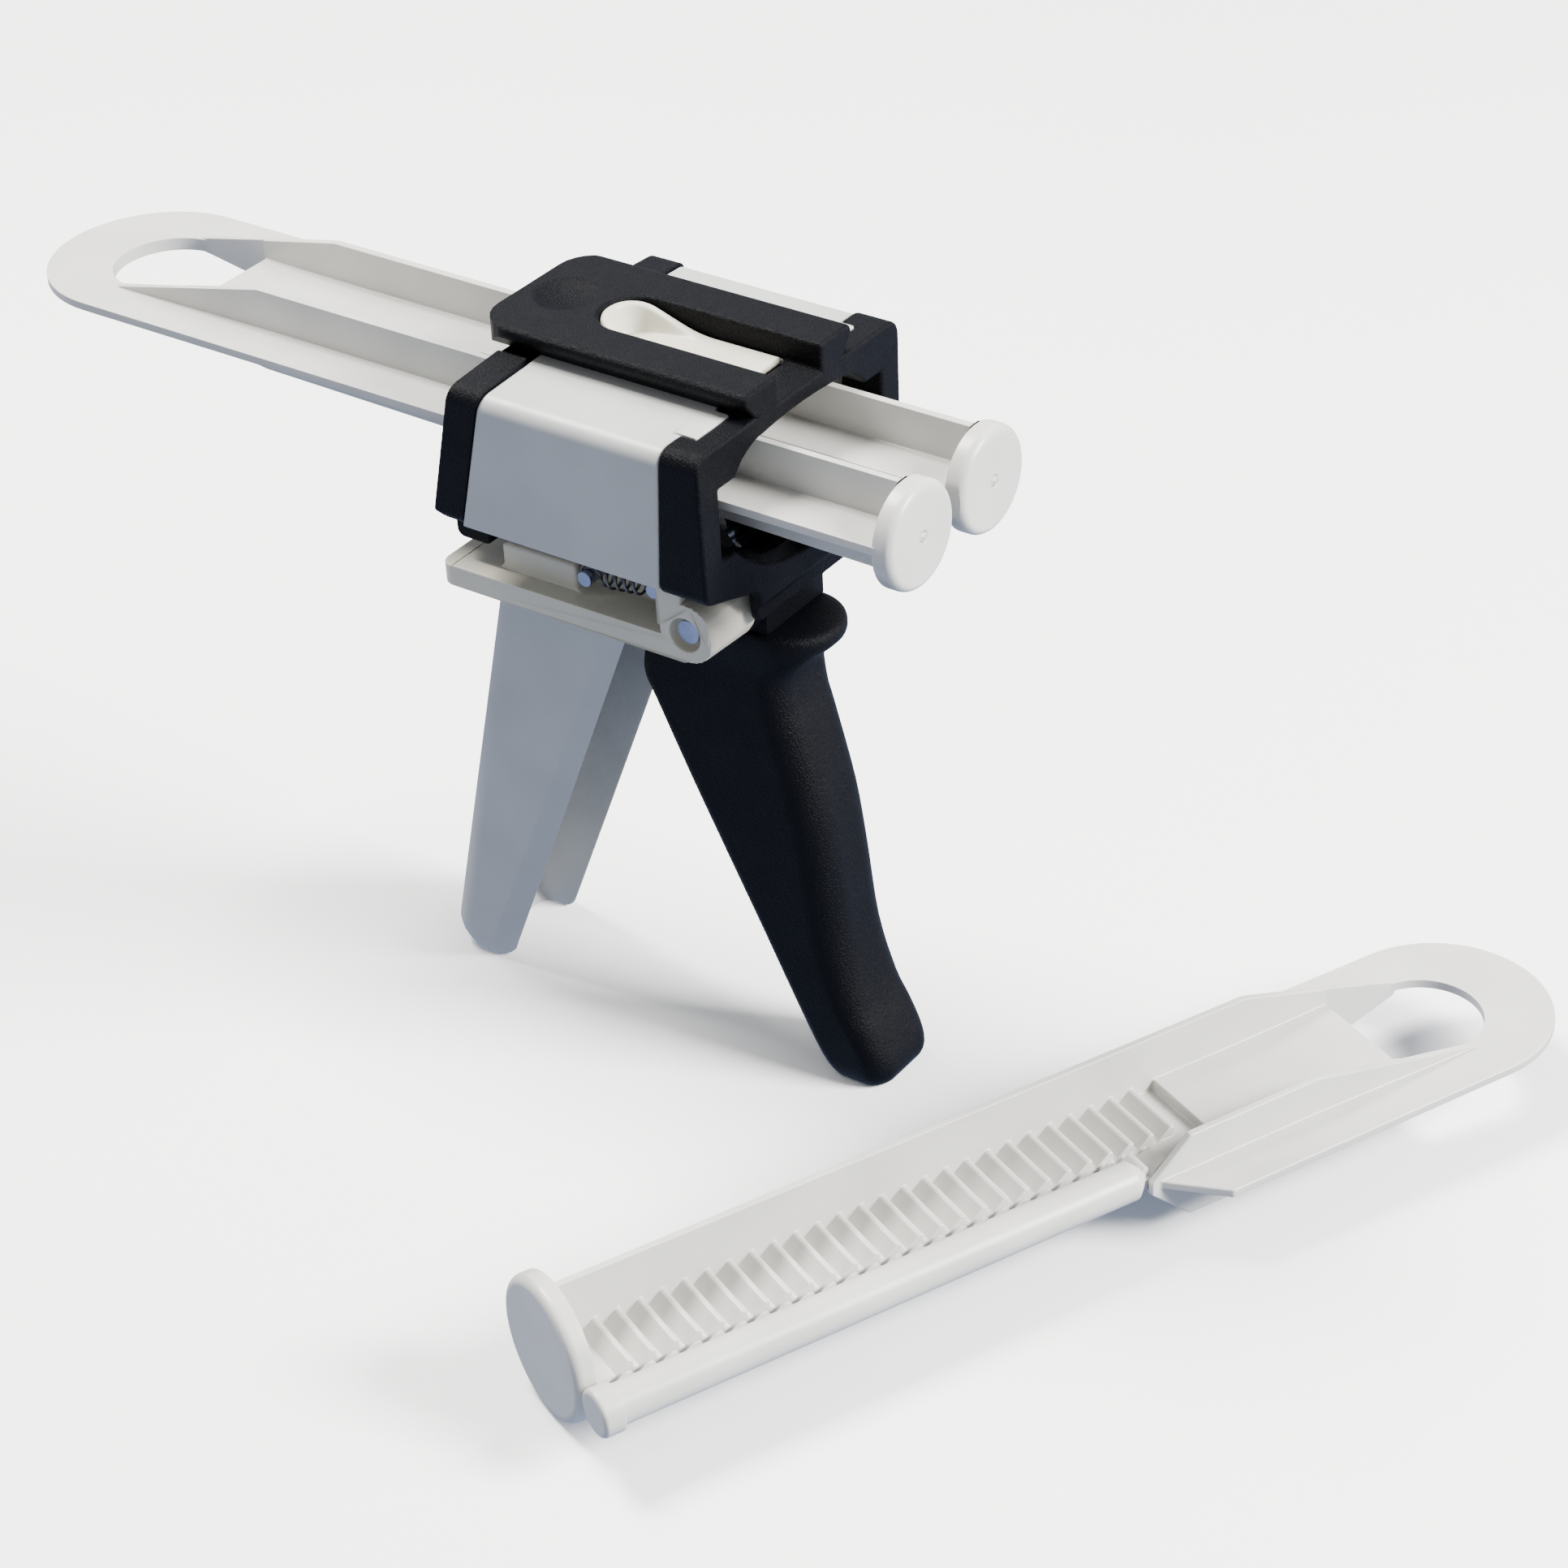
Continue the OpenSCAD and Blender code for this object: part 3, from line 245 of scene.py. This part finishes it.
MATERIALS = {
    "ink_plastic": moulded_plastic(
        "ink_plastic", INK, rough=0.44, grain_mm=0.30, grain_deep_mm=0.24, grain_strength=1.0, specular=0.07,
    ),
    "pale_grey_plastic": moulded_plastic(
        "pale_grey_plastic", PALE_GREY, rough=0.42, grain_mm=0.5, grain_deep_mm=0.02, grain_strength=0.25,
        subsurface=0.05,
    ),
    "cream_plastic": moulded_plastic("cream_plastic", CREAM, rough=0.38, **CLEAN_WALL),
    "off_white_plastic": moulded_plastic("off_white_plastic", OFF_WHITE, rough=0.34, **CLEAN_WALL),
    "zinc_steel": steel("zinc_steel", (0.27, 0.31, 0.42), rough=0.30, scratch_mm=0.12),
    "spring_steel": steel("spring_steel", (0.12, 0.12, 0.13), rough=0.32, scratch_mm=0.08),
    "pawl_steel": steel("pawl_steel", (0.28, 0.28, 0.30), rough=0.36, scratch_mm=0.15),
}
PLUNGER_PLASTIC = moulded_plastic("off_white_gated", OFF_WHITE, rough=0.34, rings=GATES, **CLEAN_WALL)


def paint(obj, slot):
    obj.data.materials.clear()
    obj.data.materials.append(MATERIALS[slot])


def stands_for(obj, node):
    """The piece takes the node's material, rides with it and stands in its place."""
    paint(obj, SLOT_OF[node])
    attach(obj, BODY_OF[node])
    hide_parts(node)
    return obj


def new_object(name, bm):
    """A smooth-shaded object from a bmesh, which is used up."""
    bmesh.ops.recalc_face_normals(bm, faces=bm.faces)
    for face in bm.faces:
        face.smooth = True
    mesh = bpy.data.meshes.new(name)
    bm.to_mesh(mesh)
    bm.free()
    obj = bpy.data.objects.new(name, mesh)
    bpy.context.scene.collection.objects.link(obj)
    return obj


def even_normals(obj):
    """Large faces set the shading at their edges, so that flats stay flat."""
    even = obj.modifiers.new("even", "WEIGHTED_NORMAL")
    even.mode = "FACE_AREA"
    even.keep_sharp = True


# Pieces made from the frame's solids, with their edges rounded

# points that lie closer than this are one
WELD_MM = 0.001
# faces that meet at less are one flat, and those that meet at more have a sharp edge
FLAT_DEG = 1.2
SHARP_DEG = 28
# edges that meet at more run on into each other
RUN_ON_DEG = 135
# how much of a neighbouring edge a rounding may take up
ROOM_SHARE = 0.42
ROUND_SEGMENTS = 3


def welded(node):
    """A bmesh of the node's solid."""
    bm = bmesh.new()
    bm.from_mesh(NODES[node].data)
    bmesh.ops.remove_doubles(bm, verts=bm.verts, dist=WELD_MM * MM)
    return bm


def solid_of(node, merge_mm=0.03, out_mm=0, cut_up=None, keep_above=True):
    """A node's mesh with its flats merged and its slivers closed, cut off at a height over the barrel axes.

    Edges shorter than merge_mm go where both ends lie further than out_mm from the middle plane.
    """
    bm = welded(node)
    if cut_up is not None:
        height = (AXIS_UP + cut_up) * MM
        bmesh.ops.bisect_plane(
            bm, geom=bm.verts[:] + bm.edges[:] + bm.faces[:], plane_co=(0, 0, height), plane_no=(0, 0, 1),
            clear_inner=keep_above, clear_outer=not keep_above,
        )
        rim = [edge for edge in bm.edges if edge.is_boundary]
        bmesh.ops.holes_fill(bm, edges=rim, sides=0)
    bmesh.ops.dissolve_limit(bm, angle_limit=math.radians(FLAT_DEG), verts=bm.verts, edges=bm.edges)
    outer = [edge for edge in bm.edges if all(abs(vert.co.y) > out_mm * MM for vert in edge.verts)]
    bmesh.ops.dissolve_degenerate(bm, dist=merge_mm * MM, edges=outer)
    return bm


def way_from(vert, edge):
    """The way an edge leaves one of its ends, as long as the edge."""
    return edge.other_vert(vert).co - vert.co


def edge_room(edge, width, sharp):
    """How wide an edge may be rounded, so that its new rims stay short of the far ends of its neighbours."""
    room = width
    for face in edge.link_faces:
        for vert in edge.verts:
            way = way_from(vert, edge)
            for other in vert.link_edges:
                if other is edge or other not in face.edges:
                    continue
                run = way_from(vert, other)
                turn = way.angle(run, 0)
                reach = math.tan(turn / 2) if other in sharp else math.sin(turn)
                if turn < math.radians(RUN_ON_DEG) or other not in sharp:
                    room = min(room, ROOM_SHARE * run.length * max(0, reach))
    return room


def next_edges(edge, left):
    """The edges of a set that an edge runs on into."""
    for vert in edge.verts:
        way = way_from(vert, edge)
        for other in vert.link_edges:
            if other in left and way.angle(way_from(vert, other), 0) > math.radians(RUN_ON_DEG):
                yield other


def rounded_runs(bm, width):
    """Runs of sharp edges that go on into each other, each with a width that all its edges have room for."""
    least = math.radians(SHARP_DEG)
    sharp = {edge for edge in bm.edges if edge.is_manifold and edge.calc_face_angle(0) > least}
    left = set(sharp)
    while left:
        run = []
        todo = [left.pop()]
        while todo:
            edge = todo.pop()
            run.append(edge)
            found = set(next_edges(edge, left))
            left -= found
            todo.extend(found)
        yield run, min(edge_room(edge, width, sharp) for edge in run)


def softened(node, width_mm, name=None, **cut):
    """A copy of a CAD node's surface with rounded edges, which stands for the node."""
    bm = solid_of(node, **cut)
    share = bm.edges.layers.float.new("bevel_weight_edge")
    for run, room in rounded_runs(bm, width_mm * MM):
        for edge in run:
            edge[share] = room / (width_mm * MM)
    obj = stands_for(new_object(name or node + "_soft", bm), node)
    bevel = obj.modifiers.new("bevel", "BEVEL")
    bevel.limit_method = "WEIGHT"
    bevel.width = width_mm * MM
    bevel.segments = ROUND_SEGMENTS
    bevel.use_clamp_overlap = False
    even_normals(obj)


for name, obj in NODES.items():
    paint(obj, SLOT_OF[name])

# each piece's rounding, the sliver that is closed first, and how far from the middle plane slivers are closed
ROUNDED_MM = {
    "front_frame": (0.7, 0.25, 0), "rear_band": (0.8, 0.25, 0), "saddle_cover": (0.4, 0.25, 12),
    "guide_tray": (0.9, 0.4, 19), "grip": (0.35, 0.25, 0), "plunger": (0.3, 0.01, 0),
    "spare_plunger": (0.3, 0.03, 0), "release_lever": (0.4, 0.03, 0), "holding_pawl": (0.2, 0.03, 0),
    "drive_pawl": (0.2, 0.03, 0),
}
for name, (width, merge, out) in ROUNDED_MM.items():
    softened(name, width, merge_mm=merge, out_mm=out)
bpy.data.objects["plunger_soft"].data.materials[0] = PLUNGER_PLASTIC


# Springs, from the solids' six-sided wires to round ones

# triangles that make up one side of the wire: how far they may lie off one plane and off a rectangle
WIRE_FACE_DEG = 40
WIRE_SHAPE_DEG = 60
# what the smoothing takes off the wire
WIRE_GROW_MM = 0.03


def round_wire(node):
    bm = welded(node)
    bmesh.ops.join_triangles(
        bm, faces=bm.faces, angle_face_threshold=math.radians(WIRE_FACE_DEG),
        angle_shape_threshold=math.radians(WIRE_SHAPE_DEG),
    )
    obj = stands_for(new_object(node + "_round", bm), node)
    fine = obj.modifiers.new("fine", "SUBSURF")
    fine.levels = 2
    fine.render_levels = 2
    grow = obj.modifiers.new("grow", "DISPLACE")
    grow.mid_level = 0
    grow.strength = WIRE_GROW_MM * MM


for name in NODES:
    if name.endswith("_spring") or "return_spring" in name:
        round_wire(name)


# Trigger


def between(p, q, r, s, t):
    """A smooth run's value at share t of the way from q to r, with p before them and s after."""
    return 0.5 * (2 * q + (r - p) * t + (2 * p - 5 * q + 4 * r - s) * t * t
                  + (3 * q - p - 3 * r + s) * t ** 3)


def spline(rows, parts):
    """A smooth run through rows of numbers, with so many steps from each row to the next."""
    last = len(rows) - 1
    out = []
    for i in range(last):
        near = [rows[max(0, min(last, i + k))] for k in (-1, 0, 1, 2)]
        for step in range(parts):
            out.append([between(*four, step / parts) for four in zip(*near)])
    out.append(list(rows[-1]))
    return out


def arc(cx, cy, r, start, end, steps):
    """Points of an arc round (cx, cy), angles in degrees."""
    turns = (math.radians(start + (end - start) * i / steps) for i in range(steps + 1))
    return [(cx + r * math.cos(turn), cy + r * math.sin(turn)) for turn in turns]


def handle_outline(front, back, half, front_r, back_r, steps=9):
    """A rectangle with two round corners in front and two at the back."""
    return (arc(front - front_r, half - front_r, front_r, 0, 90, steps)
            + arc(back + back_r, half - back_r, back_r, 90, 180, steps)
            + arc(back + back_r, back_r - half, back_r, 180, 270, steps)
            + arc(front - front_r, front_r - half, front_r, 270, 360, steps))


def loft(bm, rings):
    """A closed skin over rings with the same number of points."""
    rows = [[bm.verts.new(point) for point in ring] for ring in rings]
    for a, b in zip(rows, rows[1:]):
        for k in range(len(a)):
            n = (k + 1) % len(a)
            bm.faces.new((a[k], a[n], b[n], b[k]))
    bm.faces.new(rows[0])
    bm.faces.new(rows[-1])


# the flange's top, where the handle begins
FLANGE_DOWN = 28.8
# drop under the barrel axes, front, rear, half width and front corner radius, from the flange to the foot
TRIGGER_ROWS = [
    (FLANGE_DOWN, 2.6, -14.2, 7.3, 6.8), (28.95, 3.9, -15.6, 8.1, 7.7), (29.5, 4.75, -17, 8.6, 8.2),
    (30.6, 5.05, -19, 8.75, 8.5), (31.8, 4.7, -21.4, 8.75, 8.3), (33.2, 3.3, -23.8, 8.6, 7.2),
    (34.8, 1.2, -25.9, 8.4, 6), (36.8, -0.7, -28.2, 8.2, 5), (39, -1.5, -29.3, 8.2, 4.5),
    (41.5, -1.3, -30, 8.2, 4.6), (44.6, -0.6, -30, 8.2, 5), (48.5, 0.7, -28.2, 8.2, 5.3),
    (62, 4.3, -21.9, 8.2, 5.5), (74, 6.1, -16, 8.2, 5.5), (88.5, 7.9, -8.8, 8.2, 5.5),
    (99.2, 10.9, -3.6, 8.2, 5), (104, 13.4, -1.2, 8.2, 4.8), (108.5, 15.4, 1, 8.1, 4.5),
    (111.5, 16, 2.6, 7.9, 4.3), (113.4, 15.4, 3.8, 7.4, 3.8), (114.2, 14.4, 4.6, 6.9, 3.3),
    (114.5, 13, 5.6, 6, 2.6),
]
TRIGGER_STEPS = 4
TRIGGER_BACK_R = 3
# the root's cut lies this far over the handle's top
ROOT_GAP = 0.02
ROOT_ROUND_MM = 0.3


def trigger_handle():
    bm = bmesh.new()
    rings = []
    for down, front, back, half, front_r in spline(TRIGGER_ROWS, TRIGGER_STEPS):
        outline = handle_outline(front, back, half, front_r, min(TRIGGER_BACK_R, front_r))
        rings.append([Vector((x, y, AXIS_UP - down)) * MM for x, y in outline])
    loft(bm, rings)
    even_normals(stands_for(new_object("trigger_handle", bm), "trigger"))


trigger_handle()
softened("trigger", ROOT_ROUND_MM, name="trigger_root", cut_up=ROOT_GAP - FLANGE_DOWN)


# Cartridge latch: a scoop with a rolled rim that runs out into a flat floor

LATCH_LOW, LATCH_HIGH = box_mm("cartridge_latch")
LATCH_HALF = LATCH_HIGH.y
LATCH_FRONT = -7.6
LATCH_FLOOR_UP = 14
LATCH_BOTTOM_UP = 12.6
# the rim: its top, flat land and edge radius, and where it ends and comes near to its full height
RIM_UP = 17.9
RIM_LAND = 1.25
RIM_EDGE_R = 0.6
RIM_END_X = -20
RIM_FULL_X = -34
RIM_FULL_SHARE = 0.8
# how much of its radius the edge keeps where there is no rim
LOW_EDGE_SHARE = 0.25
# the bowl: how far in from the edge its wall ends, and its floor's dip, front end and run-out
BOWL_WIDE = 2.5
BOWL_DIP = 0.9
BOWL_END_X = -24
BOWL_LONG = 9
# the scoop's mesh: step along the sides, steps round the end, and rings from the edge to the middle line
LATCH_STEP = 0.4
LATCH_END_STEPS = 32
LATCH_RINGS = 30
LATCH_WELD_MM = 0.002
# the CAD solid under this height stays, with its own rounding
LATCH_ROOT_UP = 13
LATCH_ROOT_ROUND_MM = 0.15


def smooth_step(t):
    t = max(0.0, min(1.0, t))
    return t * t * (3 - 2 * t)


def steps_between(a, b, step):
    """Even steps from a to b, of about the given size."""
    count = max(1, round(abs(b - a) / step))
    return [a + (b - a) * i / count for i in range(count + 1)]


def latch_height(x, inset):
    """Height of the latch over the barrel axes at a distance in from its edge."""
    rise = (RIM_END_X - x) / (RIM_END_X - RIM_FULL_X) * RIM_FULL_SHARE
    crest = (RIM_UP - LATCH_FLOOR_UP) * smooth_step(rise)
    fall = 1 - smooth_step((inset - RIM_LAND) / (BOWL_WIDE - RIM_LAND))
    dip = BOWL_DIP * smooth_step((BOWL_END_X - x) / BOWL_LONG) * (1 - fall)
    off = max(0.0, 1 - inset / RIM_EDGE_R)
    edge = RIM_EDGE_R * (1 - math.sqrt(max(0.0, 1 - off * off)))
    edge_share = LOW_EDGE_SHARE + (1 - LOW_EDGE_SHARE) * min(1.0, crest / RIM_EDGE_R)
    return LATCH_FLOOR_UP + crest * fall - dip - edge * edge_share


def latch_scoop():
    """Rings that step in from the latch's edge to its middle line, over a flat bottom."""
    centre = LATCH_LOW.x + LATCH_HALF
    edge = [(x, LATCH_HALF) for x in steps_between(LATCH_FRONT, centre, LATCH_STEP)]
    edge += arc(centre, 0, LATCH_HALF, 90, 270, LATCH_END_STEPS)[1:-1]
    edge += [(x, -LATCH_HALF) for x in steps_between(centre, LATCH_FRONT, LATCH_STEP)]
    insets = [LATCH_HALF * i / LATCH_RINGS for i in range(LATCH_RINGS + 1)]
    bm = bmesh.new()
    rows = []
    for inset in insets:
        share = inset / LATCH_HALF
        row = []
        for x, y in edge:
            to_x = max(x, centre)
            in_x = x + (to_x - x) * share
            in_y = y * (1 - share)
            row.append(bm.verts.new(Vector((in_x, in_y, AXIS_UP + latch_height(in_x, inset))) * MM))
        rows.append(row)
    foot = [bm.verts.new(Vector((x, y, AXIS_UP + LATCH_BOTTOM_UP)) * MM) for x, y in edge]
    rows.insert(0, foot)
    for a, b in zip(rows, rows[1:]):
        for k in range(len(a) - 1):
            bm.faces.new((a[k], a[k + 1], b[k + 1], b[k]))
    bm.faces.new(foot)
    bm.faces.new([row[0] for row in rows] + [row[-1] for row in reversed(rows)])
    bmesh.ops.remove_doubles(bm, verts=bm.verts, dist=LATCH_WELD_MM * MM)
    even_normals(stands_for(new_object("latch_scoop", bm), "cartridge_latch"))


latch_scoop()
softened("cartridge_latch", LATCH_ROOT_ROUND_MM, name="latch_root", cut_up=LATCH_ROOT_UP, keep_above=False)


# Floor, lights and camera

FLOOR_HALF = 3.0
FLOOR_PATCHES = 4.0
FLOOR_TINTS = ((0.93, 0.93, 0.93), (0.95, 0.95, 0.95))
FLOOR_ROUGH = 0.85


def floor():
    """A pale floor that reaches past the view, and throws no light back on the tool."""
    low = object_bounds()[0].z
    mesh = bpy.data.meshes.new("floor")
    corners = [(side_x * FLOOR_HALF, side_y * FLOOR_HALF, low)
               for side_x, side_y in ((-1, -1), (1, -1), (1, 1), (-1, 1))]
    mesh.from_pydata(corners, [], [(0, 1, 2, 3)])
    obj = bpy.data.objects.new("floor", mesh)
    bpy.context.scene.collection.objects.link(obj)
    shader = Shader("floor")
    shader.tint(shader.noise(FLOOR_PATCHES), *FLOOR_TINTS)
    shader.bsdf.inputs["Roughness"].default_value = FLOOR_ROUGH
    mesh.materials.append(shader.material)
    obj.visible_diffuse = False
    obj.visible_glossy = False
    obj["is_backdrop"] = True


# what the studio looks like from the object, from straight below to overhead: bluish, dimmer, white
SKY = (
    (0.0, (0.58, 0.76, 1.25)),
    (0.5, (0.74, 0.80, 0.96)),
    (0.72, (0.55, 0.57, 0.62)),
    (1.0, (0.85, 0.84, 0.80)),
)


def sky():
    """Light from all round, whose colour changes with the height it comes from."""
    world = bpy.data.worlds.new("studio")
    bpy.context.scene.world = world
    world.use_nodes = True
    tree = world.node_tree
    place = tree.nodes.new("ShaderNodeTexCoord")
    parts = tree.nodes.new("ShaderNodeSeparateXYZ")
    height = tree.nodes.new("ShaderNodeMapRange")
    ramp = tree.nodes.new("ShaderNodeValToRGB")
    back = tree.nodes["Background"]
    tree.links.new(place.outputs["Generated"], parts.inputs["Vector"])
    tree.links.new(parts.outputs["Z"], height.inputs["Value"])
    height.inputs["From Min"].default_value = -1
    tree.links.new(height.outputs["Result"], ramp.inputs["Fac"])
    tree.links.new(ramp.outputs["Color"], back.inputs["Color"])
    marks = ramp.color_ramp.elements
    for _ in range(len(SKY) - 2):
        marks.new(0.5)
    for mark, (position, colour) in zip(marks, SKY):
        mark.position = position
        mark.color = (*colour, 1)


# each lamp's place, size, power in watts and colour
LAMPS = {
    "key": ((1.0, 0.3, 0.6), 0.45, 72, (1, 0.99, 0.97)),
    "top": ((-0.6, 0.05, 0.95), 0.4, 44, (1, 0.985, 0.95)),
}
LAMP_TARGET = (0, 0, -0.02)


def area_light(name, place, size, power, colour):
    """A square lamp that points at the lamps' target."""
    data = bpy.data.lights.new(name, "AREA")
    data.size = size
    data.energy = power
    data.color = colour
    obj = bpy.data.objects.new(name, data)
    obj.location = place
    obj.rotation_euler = (Vector(LAMP_TARGET) - Vector(place)).to_track_quat("-Z", "Y").to_euler()
    bpy.context.scene.collection.objects.link(obj)


def lights():
    sky()
    for name, lamp in LAMPS.items():
        area_light(name, *lamp)


# the photograph's camera: place, way it looks, roll, focal length and sensor width, and what it sees between
CAMERA_PLACE = (0.32248, -0.44210, 0.32094)
CAMERA_WAY = (-0.4979, 0.6674, -0.5537)
CAMERA_ROLL = math.radians(3.12)
CAMERA_LENS = 91.29
CAMERA_SENSOR = 36
CAMERA_NEAR = 0.01
CAMERA_FAR = 10


def camera():
    data = bpy.data.cameras.new("camera")
    data.lens = CAMERA_LENS
    data.sensor_width = CAMERA_SENSOR
    data.sensor_fit = "HORIZONTAL"
    data.clip_start = CAMERA_NEAR
    data.clip_end = CAMERA_FAR
    obj = bpy.data.objects.new("camera", data)
    way = Vector(CAMERA_WAY).normalized()
    level = way.to_track_quat("-Z", "Y")
    obj.rotation_mode = "QUATERNION"
    obj.rotation_quaternion = Quaternion(way, CAMERA_ROLL) @ level
    obj.location = CAMERA_PLACE
    bpy.context.scene.collection.objects.link(obj)
    bpy.context.scene.camera = obj


camera()
lights()
floor()


def write_sizes():
    """Both boxes, of the CAD model and of the dressed model, as lists of corners."""
    boxes = {"cad": CAD_BOX, "visual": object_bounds()}
    {name: [list(corner) for corner in box] for name, box in boxes.items()}


write_sizes()
